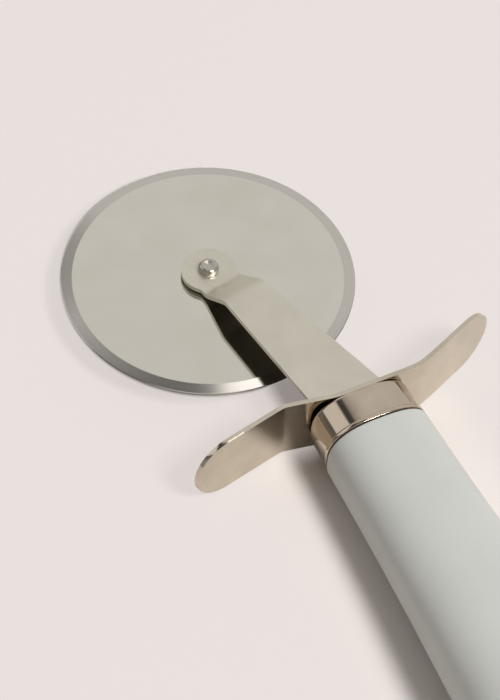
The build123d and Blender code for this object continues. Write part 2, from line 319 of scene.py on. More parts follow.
def moulding(name, dark, light, rough, grain_mm, patch_mm, bump_mm, sheen):
    """Moulded plastic or rubber with a fine grain and broad faint patches."""
    material, tree = new_material(name)
    place = add_node(tree, "ShaderNodeTexCoord").outputs["Object"]
    patches = add_node(
        tree, "ShaderNodeTexNoise", values={"Scale": 1 / (patch_mm * MM), "Detail": 2.0},
        links={"Vector": place})
    grain = add_node(
        tree, "ShaderNodeTexNoise", values={"Scale": 1 / (grain_mm * MM), "Detail": 3.0, "Roughness": 0.6},
        links={"Vector": place})
    bump = add_node(
        tree, "ShaderNodeBump", values={"Strength": 0.25, "Distance": bump_mm * MM},
        links={"Height": grain.outputs["Fac"]})
    uneven = add_node(
        tree, "ShaderNodeMapRange",
        values={"To Min": rough - ROUGHNESS_SPREAD, "To Max": rough + ROUGHNESS_SPREAD},
        links={"Value": patches.outputs["Fac"]})
    body = add_node(
        tree, "ShaderNodeBsdfPrincipled", values={"IOR": 1.5, "Sheen Weight": sheen, "Sheen Roughness": 0.5},
        links={"Base Color": shades(tree, patches.outputs["Fac"], dark, light),
               "Roughness": uneven.outputs["Result"], "Normal": bump.outputs["Normal"]})
    add_node(tree, "ShaderNodeOutputMaterial", links={"Surface": body.outputs["BSDF"]})
    return material


grip_rubber = moulding("soft_touch_rubber", "#C2C3BE", "#C6C7C2", 0.6, 0.35, 20, 0.02, 0.05)
core_plastic = moulding("moulded_black_nylon", "#1C1C1C", "#262626", 0.45, 0.4, 8, 0.02, 0.0)
print("mouldings", grip_rubber.name, core_plastic.name)

# %% [markdown]
# ## Small tools for pieces
# Every new piece is shaped in a bmesh, turned into an object at the origin, named for what it is and given
# its material. Then it is set to ride on its body and to stand for its construction nodes. Curved faces are
# shaded smooth and real corners stay sharp. Round pieces share one lathe: a profile that is spun about the
# axle, as a turner cuts it.

# %% Piece helpers
WELD_MM = 0.0005


def finish_piece(bm, name, material, body, nodes, sharp_degrees=30.0):
    """Object from a finished bmesh, riding on its body and standing for its construction nodes."""
    mesh = bpy.data.meshes.new(name)
    bm.to_mesh(mesh)
    bm.free()
    mesh.shade_smooth()
    mesh.set_sharp_from_angle(angle=math.radians(sharp_degrees))
    mesh.materials.append(material)
    piece = bpy.data.objects.new(name, mesh)
    bpy.context.scene.collection.objects.link(piece)
    flats_first = piece.modifiers.new("flats_first", "WEIGHTED_NORMAL")
    flats_first.keep_sharp = True
    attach(piece, body)
    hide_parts(*nodes)
    spans = [(min(row), max(row)) for row in zip(*[v.co for v in mesh.vertices])]
    corners = [Vector(corner) for corner in zip(*spans)]
    offsets = [(made - planned) / MM for made, planned in zip(corners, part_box(nodes[0]))]
    print(name, "faces", len(mesh.polygons), "off its node by", [[round(c, 2) for c in o] for o in offsets])
    return piece


def lathe(profile_mm, steps):
    """Closed round solid about the axle from a profile of radius and height."""
    bm = bmesh.new()
    points = [bm.verts.new(at(radius, 0, height)) for radius, height in profile_mm]
    edges = [bm.edges.new(pair) for pair in zip(points, points[1:])]
    bmesh.ops.spin(
        bm, geom=points + edges, cent=HUB, axis=(0, 0, 1), angle=2 * math.pi, steps=steps, use_merge=True)
    bmesh.ops.remove_doubles(bm, verts=bm.verts, dist=WELD_MM * MM)
    bmesh.ops.recalc_face_normals(bm, faces=bm.faces)
    return bm


print("profile points closer than", WELD_MM, "mm are welded")

# %% [markdown]
# ## The cutting wheel
# A real wheel is punched from sheet, then ground on both faces. A lathe profile makes it in one step: up the
# hole, out along the flat, down the shallow bevel, over a narrow steep edge, round the rim and back. The two
# slopes come from the grinding: the rim gets a second, steeper pass that makes the edge.

# %% Turn the wheel
upper_half = [(3.2, 0.5), (36.0, 0.5), (BEVEL_INNER_MM, 0.5), (39.72, 0.155), (39.93, 0.09)]
lower_half = [(radius, -height) for radius, height in reversed(upper_half)]
wheel_bm = lathe(upper_half + [(40.0, 0.0)] + lower_half + upper_half[:1], steps=240)
finish_piece(wheel_bm, "wheel_disc", wheel_steel, "wheel", ["cutting_wheel"], 4.0)

# %% [markdown]
# ## The axle rivet
# The head is pressed over the arm's eye: a short upright side, a curved shoulder, and a flat with a shallow
# dimple left by the tool. The shank passes through the eye and the wheel, and the lower head closes it. All
# of it is round, so the same lathe turns both pieces. A flattened ball would have neither side nor dimple.

# %% Turn the axle rivet
EYE_TOP, EYE_FOOT = 2.8, 1.4
HEAD_RADIUS, SHANK_RADIUS, SPIGOT_RADIUS = 2.8, 2.0, 1.2
SIDE_HEIGHT, SHOULDER_WIDTH, SHOULDER_HEIGHT = 0.75, 0.95, 1.25
CHAMFER_WIDTH, CHAMFER_HEIGHT = 0.08, 0.3
DIMPLE = [(0, 4.62), (0.9, 4.66), (1.45, 4.78)]
SPIGOT_FOOT = -3.3
shoulder = []
for step in range(7):
    bend = math.radians(90 * step / 6)
    radius = HEAD_RADIUS - SHOULDER_WIDTH * (1 - math.cos(bend))
    shoulder.append((radius, SIDE_HEIGHT + SHOULDER_HEIGHT * math.sin(bend)))
raised = [(radius, EYE_TOP + height) for radius, height in shoulder[::-1]]
seat = [
    (HEAD_RADIUS, EYE_TOP + CHAMFER_HEIGHT), (HEAD_RADIUS - CHAMFER_WIDTH, EYE_TOP), (SHANK_RADIUS, EYE_TOP)]
shank = [
    (SHANK_RADIUS, -EYE_FOOT), (SPIGOT_RADIUS, -EYE_FOOT), (SPIGOT_RADIUS, SPIGOT_FOOT), (0, SPIGOT_FOOT)]
rivet_bm = lathe(DIMPLE + raised + seat + shank, steps=64)
finish_piece(rivet_bm, "axle_rivet_head", rivet_steel, "frame", ["axle_rivet"])

# %% Turn the rivet's lower head
CAP_FOOT = -3.4
cap = [(SPIGOT_RADIUS, CAP_FOOT)] + [(radius, -EYE_FOOT - height) for radius, height in shoulder[::-1]]
cap_seat = [
    (HEAD_RADIUS, -EYE_FOOT - CHAMFER_HEIGHT), (HEAD_RADIUS - CHAMFER_WIDTH, -EYE_FOOT),
    (SPIGOT_RADIUS, -EYE_FOOT)]
cap_bm = lathe(cap + cap_seat + cap[:1], steps=64)
finish_piece(cap_bm, "axle_rivet_lower_head", rivet_steel, "frame", ["axle_rivet_cap"])

# %% [markdown]
# ## The wheel arm
# A sheet-metal arm starts as a flat blank, and so does this one, because an outline is easiest to cut while
# it is flat. It begins as the eye's circle. The vertices inside the neck go, and the open ends are joined to
# the strip's corners; beveling the throat's vertices rounds them as the punch does. Cuts across the blank let
# it bend, also one at each outline point inside a bend, so that every strip between two cuts stays flat. Then
# the bends lift it, a wall gives it thickness, and a fine bevel takes the sharp edge off all round. A
# narrower tongue at its root turns down against the guard.

# %% The bend profile
SHEET_MM = 1.4
FIRST_BEND, SECOND_BEND = 6.4, 14.9
FIRST_RADIUS, SECOND_RADIUS = 3.0, 4.4
SHOULDER_TOP, ROOT_TOP = 8.7, 9.7
GUARD_X = 55.65
ROOT_AT = GUARD_X / math.cos(ARM_ANGLE)
rise_angle = math.atan2(SHOULDER_TOP - EYE_TOP, SECOND_BEND - FIRST_BEND)
run_angle = math.atan2(ROOT_TOP - SHOULDER_TOP, ROOT_AT - SECOND_BEND)
first_reach = FIRST_RADIUS * math.tan(rise_angle / 2)
second_reach = SECOND_RADIUS * math.tan((rise_angle - run_angle) / 2)


def arm_height(s):
    """Height of the arm's top face at a distance along the arm, with both bends rounded."""
    if s <= FIRST_BEND - first_reach:
        return EYE_TOP
    if s <= FIRST_BEND + first_reach * math.cos(rise_angle):
        into_bend = s - FIRST_BEND + first_reach
        return EYE_TOP + FIRST_RADIUS - math.sqrt(FIRST_RADIUS ** 2 - into_bend ** 2)
    if s <= SECOND_BEND - second_reach * math.cos(rise_angle):
        return EYE_TOP + (s - FIRST_BEND) * math.tan(rise_angle)
    top_s = SECOND_BEND + second_reach * math.cos(run_angle)
    if s <= top_s:
        centre_s = top_s + SECOND_RADIUS * math.sin(run_angle)
        centre_z = SHOULDER_TOP + second_reach * math.sin(run_angle) - SECOND_RADIUS * math.cos(run_angle)
        return centre_z + math.sqrt(SECOND_RADIUS ** 2 - (s - centre_s) ** 2)
    return SHOULDER_TOP + (s - SECOND_BEND) * math.tan(run_angle)


print("arm heights", [round(arm_height(s), 2) for s in (0, 6, 7, 12, 15, 17, 50)])

# %% Cut the arm's blank
EYE_RADIUS, NECK_HALF, SHOULDER_HALF, ROOT_HALF = 7.4, 5.7, 6.3, 9.45
THROAT, THROAT_ROUND, BLANK_END = (5.05, 5.82), 1.3, 70


def arm_blank():
    """Flat blank of the arm, along X: an eye and a widening strip."""
    bm = bmesh.new()
    eye = bmesh.ops.create_circle(bm, cap_ends=False, radius=EYE_RADIUS, segments=96)["verts"]
    inside = [v for v in eye if v.co.x > 0 and abs(v.co.y) < NECK_HALF]
    bmesh.ops.delete(bm, geom=inside, context="VERTS")
    left_end = max((v for v in bm.verts if v.co.x > 0 and v.co.y > 0), key=lambda v: v.co.x)
    right_end = max((v for v in bm.verts if v.co.x > 0 and v.co.y < 0), key=lambda v: v.co.x)
    slope = (ROOT_HALF - SHOULDER_HALF) / (ROOT_AT - SECOND_BEND)
    end_half = SHOULDER_HALF + slope * (BLANK_END - SECOND_BEND)
    one_side = [THROAT, (SECOND_BEND, SHOULDER_HALF), (BLANK_END, end_half)]
    corners = one_side + [(x, -y) for x, y in reversed(one_side)]
    strip = [bm.verts.new((x, y, 0)) for x, y in corners]
    chain = [left_end] + strip + [right_end]
    for pair in zip(chain, chain[1:]):
        bm.edges.new(pair)
    bmesh.ops.bevel(
        bm, geom=[strip[0], strip[-1]], affect="VERTICES", offset=THROAT_ROUND, segments=6, profile=0.5,
        material=-1)
    bmesh.ops.contextual_create(bm, geom=bm.edges)
    return bm


print("arm", 2 * SHOULDER_HALF, "mm wide at the shoulder and", 2 * ROOT_HALF, "mm at the root")

# %% Cuts and wall of a sheet
EDGE_ROUND, CORNER_ANGLE = 0.32, math.radians(50)


def cut_across(bm, places):
    """Cuts the blank across at each distance along the arm."""
    for s in places:
        whole = bm.verts[:] + bm.edges[:] + bm.faces[:]
        bmesh.ops.bisect_plane(bm, geom=whole, plane_co=(s, 0, 0), plane_no=(1, 0, 0), dist=0.002)


def spread(first, last, count):
    """Evenly spread places between two ends, both included."""
    return [first + (last - first) * step / (count - 1) for step in range(count)]


def sheet_from(bm):
    """Gives a flat or bent blank its thickness below it, and takes the sharp edge off all round."""
    bmesh.ops.solidify(bm, geom=bm.faces[:], thickness=SHEET_MM)
    bmesh.ops.recalc_face_normals(bm, faces=bm.faces)
    edges = [e for e in bm.edges if len(e.link_faces) == 2 and e.calc_face_angle() > CORNER_ANGLE]
    bmesh.ops.bevel(
        bm, geom=edges, affect="EDGES", offset=EDGE_ROUND, segments=4, profile=0.5, material=-1,
        clamp_overlap=True)


print("sheet", SHEET_MM, "mm thick with", EDGE_ROUND, "mm off its edges")

# %% Bend the tongue
ARM_END = GUARD_X - 0.05
HANDLE_Y = 15.95
TONGUE_HALF, TONGUE_FOOT, TONGUE_BEND_RADIUS = 5.2, -8.4, 2.6
TONGUE_BEND_X, TONGUE_TOP = ARM_END - TONGUE_BEND_RADIUS, ROOT_TOP - 0.5
TONGUE_START, TONGUE_ROUND = 0.5, 3.0


def bent_tongue():
    """Flange: a strip that leaves the arm's underside, turns down through a right angle and ends round."""
    bm = bmesh.new()
    sides = [HANDLE_Y + side * TONGUE_HALF for side in (-1, 1)]
    start = [bm.verts.new((TONGUE_BEND_X - TONGUE_START, y, TONGUE_TOP)) for y in sides]
    grown = start + [bm.edges.new(start)]

    def further(moved, vector):
        edge = [item for item in moved if isinstance(item, bmesh.types.BMEdge)]
        new = bmesh.ops.extrude_edge_only(bm, edges=edge)["geom"]
        new = [item for item in new if not isinstance(item, bmesh.types.BMFace)]
        points = [item for item in new if isinstance(item, bmesh.types.BMVert)]
        bmesh.ops.translate(bm, vec=vector, verts=points)
        return new

    grown = further(grown, (TONGUE_START, 0, 0))
    centre = (TONGUE_BEND_X, 0, TONGUE_TOP - TONGUE_BEND_RADIUS)
    grown = bmesh.ops.spin(
        bm, geom=grown, cent=centre, axis=(0, 1, 0), angle=math.radians(90), steps=6)["geom_last"]
    grown = further(grown, (0, 0, TONGUE_FOOT - centre[2]))
    foot = [item for item in grown if isinstance(item, bmesh.types.BMVert)]
    bmesh.ops.bevel(
        bm, geom=foot, affect="VERTICES", offset=TONGUE_ROUND, segments=6, profile=0.5, material=-1)
    bmesh.ops.recalc_face_normals(bm, faces=bm.faces)
    if sum(face.normal.x * face.calc_area() for face in bm.faces) < 0:
        bmesh.ops.reverse_faces(bm, faces=bm.faces)
    sheet_from(bm)
    mesh = bpy.data.meshes.new("tongue")
    bm.to_mesh(mesh)
    bm.free()
    return mesh


tongue = bent_tongue()
print("tongue faces", len(tongue.polygons))

# %% Bend the arm
STEP_Y, STEP_LEAN = 9.5, math.radians(10.7)
CUTS_PER_BEND = 7


def make_arm():
    """The finished arm: blank, bends, turn, trim at the guard, wall, soft edges and tongue."""
    bm = arm_blank()
    bent_part = (FIRST_BEND - first_reach, SECOND_BEND + second_reach)
    first_ends = (bent_part[0], FIRST_BEND + first_reach * math.cos(rise_angle))
    second_ends = (SECOND_BEND - second_reach * math.cos(rise_angle), bent_part[1])
    for ends in (first_ends, second_ends):
        cut_across(bm, spread(*ends, CUTS_PER_BEND))
    cut_across(bm, sorted({v.co.x for v in bm.verts if bent_part[0] < v.co.x < bent_part[1]}))
    for vert in bm.verts:
        vert.co.z = arm_height(vert.co.x)
    bmesh.ops.rotate(bm, cent=(0, 0, 0), matrix=Matrix.Rotation(ARM_ANGLE, 3, "Z"), verts=bm.verts)
    leaning = (math.cos(STEP_LEAN), -math.sin(STEP_LEAN), 0)
    for point, normal in [((ARM_END, 0, 0), (1, 0, 0)), ((ARM_END, STEP_Y, 0), leaning)]:
        whole = bm.verts[:] + bm.edges[:] + bm.faces[:]
        bmesh.ops.bisect_plane(bm, geom=whole, plane_co=point, plane_no=normal, clear_outer=True, dist=1e-6)
    bmesh.ops.recalc_face_normals(bm, faces=bm.faces)
    if sum(face.normal.z for face in bm.faces) < 0:
        bmesh.ops.reverse_faces(bm, faces=bm.faces)
    sheet_from(bm)
    bm.from_mesh(tongue)
    bmesh.ops.transform(bm, matrix=Matrix.Translation(HUB) @ Matrix.Scale(MM, 4), verts=bm.verts)
    return finish_piece(bm, "bent_wheel_arm", arm_steel, "frame", ["wheel_arm"], 25.0)


make_arm()

# %% [markdown]
# ## The finger guard
# The guard is one strip of sheet that is bent three times, so that one wing leans back to the hand and the
# other leans to the wheel. A flat grid is the strip. Its columns follow the bent line and shorten towards the
# half-round ends; then it gets its thickness and a rolled, polished edge. Boxes joined at angles would be
# quicker, but the bends would be creases, and polished sheet shows a crease at once.

# %% The guard's bent line
LEFT_TIP, RIGHT_TIP = -31.3, 60.4
GUARD_HALF, GUARD_MM = 9.75, 1.2
LEFT_BEND_Y, RIGHT_BEND_Y = -4.25, 34.1
LEFT_LEAN, RIGHT_LEAN = math.radians(12.4), math.radians(22.5)
LEFT_SOFT, STEP_SOFT, RIGHT_SOFT = 0.35, 0.2, 0.9
FLAT_MIDDLE_Y = 20


def max_blend(a, b, softness):
    """The larger of two values, with the corner between them rounded."""
    return (a + b + math.sqrt((a - b) ** 2 + softness ** 2)) / 2


def guard_front(y):
    """Place of the guard's front face along X at a place across the tool."""
    step_rise = (STEP_Y - LEFT_BEND_Y) * math.tan(STEP_LEAN)
    if y < 0:
        low_x = GUARD_X - step_rise
        before = low_x + (LEFT_BEND_Y - y) * math.tan(LEFT_LEAN)
        after = low_x + (y - LEFT_BEND_Y) * math.tan(STEP_LEAN)
        return max_blend(before, after, LEFT_SOFT)
    if y < FLAT_MIDDLE_Y:
        slanted = GUARD_X - (STEP_Y - y) * math.tan(STEP_LEAN)
        return -max_blend(-slanted, -GUARD_X, STEP_SOFT)
    right_wing = GUARD_X - (y - RIGHT_BEND_Y) * math.tan(RIGHT_LEAN)
    return -max_blend(-right_wing, -GUARD_X, RIGHT_SOFT)


guard_places = (LEFT_TIP, LEFT_BEND_Y, STEP_Y, RIGHT_BEND_Y, RIGHT_TIP)
print("guard line", [round(guard_front(y), 2) for y in guard_places])

# %% Bend the guard
COLUMNS, ROWS = 220, 8
GUARD_EDGE_ROUND = 0.55


def make_guard():
    """Grid to bent strip with half-round ends, wall and rolled edges; its columns crowd at the ends."""
    bm = bmesh.new()
    bmesh.ops.create_grid(bm, x_segments=COLUMNS, y_segments=ROWS, size=1.0)
    middle = (LEFT_TIP + RIGHT_TIP) / 2
    half_span = (RIGHT_TIP - LEFT_TIP) / 2
    for vert in bm.verts:
        share = math.sin(vert.co.x * math.pi / 2) * 0.5 + vert.co.x * 0.5
        y = middle + half_span * share
        end = GUARD_HALF * math.cos(LEFT_LEAN if y < middle else RIGHT_LEAN)
        beyond = max(0.0, abs(y - middle) - (half_span - end)) / end
        reach = GUARD_HALF * math.sqrt(max(0.0, 1 - min(1.0, beyond) ** 2))
        vert.co = (guard_front(y), y, vert.co.y * reach)
    bmesh.ops.remove_doubles(bm, verts=bm.verts, dist=0.001)
    bmesh.ops.recalc_face_normals(bm, faces=bm.faces)
    if sum(face.normal.x for face in bm.faces) > 0:
        bmesh.ops.reverse_faces(bm, faces=bm.faces)
    bmesh.ops.solidify(bm, geom=bm.faces[:], thickness=GUARD_MM)
    bmesh.ops.recalc_face_normals(bm, faces=bm.faces)
    rim = [e for e in bm.edges if len(e.link_faces) == 2 and e.calc_face_angle() > CORNER_ANGLE]
    bmesh.ops.bevel(
        bm, geom=rim, affect="EDGES", offset=GUARD_EDGE_ROUND, segments=5, profile=0.5, material=-1,
        clamp_overlap=True)
    bmesh.ops.transform(bm, matrix=Matrix.Translation(HUB) @ Matrix.Scale(MM, 4), verts=bm.verts)
    return finish_piece(bm, "bent_finger_guard", guard_steel, "frame", ["finger_guard"], 40.0)


make_guard()

# %% [markdown]
# ## Oval shells
# The ferrule and the grip share one oval, a little squarer than an ellipse: its exponent is 2.65, where an
# ellipse has 2. A circle is the first ring. Each further ring is extruded from the last and set to its own
# place and size, which is how a lofted part grows.

# %% Oval ring tool
HALF_WIDTH, HALF_HEIGHT = 14.4, 11.3
POWER = 2 / 2.65
SIDES = 160


def oval_shell(rings, close_end):
    """Skin through oval rings, each a place along the handle with its half width and half height."""
    bm = bmesh.new()
    turn = bm.verts.layers.float.new("turn")
    ring = bmesh.ops.create_circle(bm, cap_ends=False, radius=1.0, segments=SIDES)["verts"]
    for vert in ring:
        vert[turn] = math.atan2(vert.co.y, vert.co.x)
    edges = bm.edges[:]
    for index, (x, wide, high) in enumerate(rings):
        if index:
            grown = bmesh.ops.extrude_edge_only(bm, edges=edges)["geom"]
            ring = [item for item in grown if isinstance(item, bmesh.types.BMVert)]
            edges = [item for item in grown if isinstance(item, bmesh.types.BMEdge)
                     and item.verts[0] in ring and item.verts[1] in ring]
        for vert in ring:
            side, rise = math.cos(vert[turn]), math.sin(vert[turn])
            vert.co = at(
                x, HANDLE_Y + math.copysign(abs(side) ** POWER * wide, side),
                math.copysign(abs(rise) ** POWER * high, rise))
    if close_end:
        bmesh.ops.contextual_create(bm, geom=edges)
    bmesh.ops.recalc_face_normals(bm, faces=bm.faces)
    return bm


print("oval", 2 * HALF_WIDTH, "by", 2 * HALF_HEIGHT, "mm")

# %% [markdown]
# ## The ferrule
# The ferrule is a drawn steel cap: a flat front against the guard, a small front radius, straight sides and a
# rolled bead at its open end. The rings go round the whole wall, outside and then back along the inside, so
# the shell is closed and needs no modifier, and each round gets as many rings as its highlight needs.

# %% Draw the ferrule
F_FRONT, F_REAR, BEAD = 56.85, 67.25, 0.5
F_WIDE, F_HIGH = HALF_WIDTH - BEAD, HALF_HEIGHT - BEAD
F_WALL, FRONT_ROUND, FLAT_INSET, SCREW_HOLE, REAR_LIP = 0.8, 1.2, 1.6, 2.2, 0.1
ferrule_rings = [(F_FRONT, SCREW_HOLE, SCREW_HOLE), (F_FRONT, F_WIDE - FLAT_INSET, F_HIGH - FLAT_INSET)]
for step in range(9):
    bend = math.radians(90 * step / 8)
    inset = FRONT_ROUND * (1 - math.sin(bend))
    ferrule_rings.append((F_FRONT + FRONT_ROUND * (1 - math.cos(bend)), F_WIDE - inset, F_HIGH - inset))
bead_profile = [
    (4.0, 0.0), (1.5, 0.0), (1.38, 0.03), (1.27, 0.13), (1.17, 0.28), (1.06, 0.39), (0.93, 0.45),
    (0.75, 0.475), (0.12, 0.485), (0.05, 0.46), (0.01, 0.4), (0.0, 0.1)]
ferrule_rings += [(F_REAR - back, F_WIDE + out, F_HIGH + out) for back, out in bead_profile]
ferrule_rings += [
    (F_REAR, F_WIDE - REAR_LIP, F_HIGH - REAR_LIP), (F_REAR, F_WIDE - F_WALL, F_HIGH - F_WALL),
    (F_FRONT + F_WALL, F_WIDE - F_WALL, F_HIGH - F_WALL), (F_FRONT + F_WALL, SCREW_HOLE, SCREW_HOLE),
    ferrule_rings[0]]
ferrule_bm = oval_shell(ferrule_rings, close_end=False)
bmesh.ops.remove_doubles(ferrule_bm, verts=ferrule_bm.verts, dist=WELD_MM * MM)
bmesh.ops.recalc_face_normals(ferrule_bm, faces=ferrule_bm.faces)
finish_piece(ferrule_bm, "drawn_ferrule", ferrule_steel, "frame", ["ferrule"], 50.0)

# %% [markdown]
# ## The grip
# The grip swells towards the palm and closes in a rounded butt. Its width at each place comes from a few
# shares of the front width, joined by a smooth curve, so that the shading has no kinks. They were measured on
# the part of the grip that the photograph shows, and the rest of the swell and the butt are a guess.

# %% Swell of the grip
GRIP_FRONT, GRIP_LENGTH = 67.55, 102.0
PLACES = [0.0, 0.16, 0.325, 0.5, 0.66, 0.78, 0.857, 0.912, 0.956, 0.9846, 1.0]
WIDTHS = [1.0, 1.024, 1.06, 1.112, 1.172, 1.2]
DOME_SHARE = 0.8
dome_start, dome_width = PLACES[5], WIDTHS[5]
for place in PLACES[6:]:
    into_dome = (place - dome_start) / (1 - dome_start)
    WIDTHS.append(dome_width * math.sqrt(1 - (into_dome * DOME_SHARE) ** 2))


def width_at(place):
    """Smooth share of the front width at a place along the grip, from 0 to 1."""
    index = max(i for i in range(len(PLACES) - 1) if PLACES[i] <= place or i == 0)
    slopes = []
    for i in (index, index + 1):
        before, after = max(i - 1, 0), min(i + 1, len(PLACES) - 1)
        slopes.append((WIDTHS[after] - WIDTHS[before]) / (PLACES[after] - PLACES[before]))
    gap = PLACES[index + 1] - PLACES[index]
    t = (place - PLACES[index]) / gap
    start, end = WIDTHS[index], WIDTHS[index + 1]
    between = start * (2 * t ** 3 - 3 * t ** 2 + 1) + end * (3 * t ** 2 - 2 * t ** 3)
    return between + slopes[0] * gap * (t ** 3 - 2 * t ** 2 + t) + slopes[1] * gap * (t ** 3 - t ** 2)


print("grip widths", [round(2 * HALF_WIDTH * width_at(p), 1) for p in (0, 0.25, 0.5, 0.75, 1)])

# %% Mould the grip
GRIP_WALL, LIP_ROUND = 2.6, 0.6
SWELL_RINGS, SWELL_END = 69, 0.982
grip_rings = [(GRIP_FRONT, HALF_WIDTH - GRIP_WALL, HALF_HEIGHT - GRIP_WALL)]
for step in range(6):
    bend = math.radians(90 * step / 5)
    inset = LIP_ROUND * (1 - math.sin(bend))
    lip_x = GRIP_FRONT + LIP_ROUND * (1 - math.cos(bend))
    grip_rings.append((lip_x, HALF_WIDTH - inset, HALF_HEIGHT - inset))
for step in range(1, SWELL_RINGS + 1):
    place = SWELL_END * step / SWELL_RINGS
    wide = width_at(place)
    grip_rings.append((GRIP_FRONT + GRIP_LENGTH * place, HALF_WIDTH * wide, HALF_HEIGHT * wide))
butt_wide, butt_round, butt_slope = width_at(1.0), 4.0, 39.4
flat_inset = butt_round * math.tan(math.radians((90 - butt_slope) / 2))
for step in range(9):
    bend = math.radians(butt_slope + (90 - butt_slope) * step / 8)
    out = butt_round * math.cos(bend) - flat_inset
    grip_rings.append((
        GRIP_FRONT + GRIP_LENGTH - butt_round * (1 - math.sin(bend)),
        HALF_WIDTH * butt_wide + out, HALF_HEIGHT * butt_wide + out))
grip_bm = oval_shell(grip_rings, close_end=True)
finish_piece(grip_bm, "soft_grip", grip_rubber, "frame", ["handle_grip"], 60.0)

# %% [markdown]
# ## Finishes for the inner pieces
# The washers, the long screw, the rivets, the insert and the core keep their construction shapes, and only
# get their real finishes. Of these only the upper washer shows, as a fine second line under the eye's edge.

# %% Finishes for the inner pieces
inner_finishes = {
    "wheel_bush": turned_brass, "upper_spacer_washer": plain_steel, "lower_spacer_washer": plain_steel,
    "flange_rivets": rivet_steel, "tang_screw": plain_steel, "tang_washer": plain_steel,
    "tang_insert": turned_brass, "handle_core": core_plastic}
for node, material in inner_finishes.items():
    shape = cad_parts[node]
    shape.data.materials.clear()
    shape.data.materials.append(material)
print("finished", sorted(inner_finishes))

# %% [markdown]
# ## Table
# The cutter lies on the guard's lower edge and on the grip's swell, so it pitches by about two degrees. The
# tool stays level here and the table is pitched instead. Its colour is the photograph's background. Beside
# the grip and under the wheel's near side the shadow keeps its full depth, under the arm's root most of it,
# and elsewhere the camera sees it lightened. Each of these regions has soft edges, because a step in a shadow
# would show.

# %% Paper of the table
FIBRE_MM = 0.6
table_material, table_tree = new_material("pale_paper_table")
table_place = add_node(table_tree, "ShaderNodeTexCoord").outputs["Object"]
fibres = add_node(
    table_tree, "ShaderNodeTexNoise", values={"Scale": 1 / (FIBRE_MM * MM), "Detail": 2.0},
    links={"Vector": table_place})
paper = add_node(
    table_tree, "ShaderNodeBsdfPrincipled", values={"Roughness": 0.9, "Specular IOR Level": 0.0},
    links={"Base Color": shades(table_tree, fibres.outputs["Fac"], "#E8E0DC", "#E9E1DD")})
backdrop = add_node(table_tree, "ShaderNodeEmission", values={"Color": linear("#E9E1DD"), "Strength": 1.0})
print("table material", table_material.name)

# %% Beside the grip and under the arm
UNDER_ARM_SHARE = 0.66
spot = add_node(table_tree, "ShaderNodeSeparateXYZ", links={"Vector": table_place})


def soft_rectangle(*sides):
    """Level of 1 inside four soft sides, each an axis and the places in millimetres where it is 0 and 1."""
    inside = None
    for axis, none_mm, full_mm in sides:
        ends = [getattr(at(place, place, 0), axis.lower()) for place in (none_mm, full_mm)]
        side = add_node(
            table_tree, "ShaderNodeMapRange", {"interpolation_type": "SMOOTHSTEP"},
            {"From Min": ends[0], "From Max": ends[1]}, {"Value": spot.outputs[axis]}).outputs["Result"]
        inside = side if inside is None else add_node(
            table_tree, "ShaderNodeMath", {"operation": "MULTIPLY"}, links={0: inside, 1: side}).outputs[0]
    return inside


beside_grip = soft_rectangle(("X", 50, 62), ("Y", -20, -8), ("Y", 52, 40), ("X", 190, 152))
under_arm = soft_rectangle(("X", 26, 36), ("Y", -1, 5), ("Y", 22, 12), ("X", 62, 54))
under_arm = add_node(
    table_tree, "ShaderNodeMath", {"operation": "MULTIPLY"}, {1: UNDER_ARM_SHARE}, {0: under_arm}).outputs[0]
print("nodes of the table so far", len(table_tree.nodes))

# %% Under the wheel's near side
AWAY_MM, LEFT_MM = 6.1, 0.7
WHEEL_SHADOW_MM = (40.6, 39.2)
from_wheel = add_node(table_tree, "ShaderNodeVectorMath", {"operation": "SUBTRACT"}, links={0: table_place})
from_wheel.inputs[1].default_value = HUB - near * AWAY_MM * MM - right * LEFT_MM * MM
from_wheel = add_node(
    table_tree, "ShaderNodeVectorMath", {"operation": "MULTIPLY"}, {1: (1, 1, 0)}, {0: from_wheel.outputs[0]})
from_wheel = add_node(
    table_tree, "ShaderNodeVectorMath", {"operation": "LENGTH"}, links={0: from_wheel.outputs[0]})
under_wheel = add_node(
    table_tree, "ShaderNodeMapRange", {"interpolation_type": "SMOOTHSTEP"},
    {"From Min": WHEEL_SHADOW_MM[0] * MM, "From Max": WHEEL_SHADOW_MM[1] * MM},
    {"Value": from_wheel.outputs["Value"]}).outputs["Result"]
print("wheel's region is round, with a radius of", WHEEL_SHADOW_MM[1], "mm")

# %% Lighten the other shadows
LIGHTENED = 0.82
near_tool = beside_grip
for region in (under_arm, under_wheel):
    near_tool = add_node(
        table_tree, "ShaderNodeMath", {"operation": "MAXIMUM"}, links={0: near_tool, 1: region}).outputs[0]
lightened = add_node(
    table_tree, "ShaderNodeMapRange", values={"To Min": LIGHTENED, "To Max": 0.0}, links={"Value": near_tool})
rays = add_node(table_tree, "ShaderNodeLightPath")
seen = add_node(
    table_tree, "ShaderNodeMath", {"operation": "MULTIPLY"},
    links={0: rays.outputs["Is Camera Ray"], 1: lightened.outputs["Result"]})
table_mix = add_node(table_tree, "ShaderNodeMixShader", links={"Fac": seen.outputs[0]})
table_tree.links.new(paper.outputs["BSDF"], table_mix.inputs[1])
table_tree.links.new(backdrop.outputs["Emission"], table_mix.inputs[2])
add_node(table_tree, "ShaderNodeOutputMaterial", links={"Surface": table_mix.outputs[0]})
print("elsewhere a shadow keeps", round(1 - LIGHTENED, 2), "of its depth")

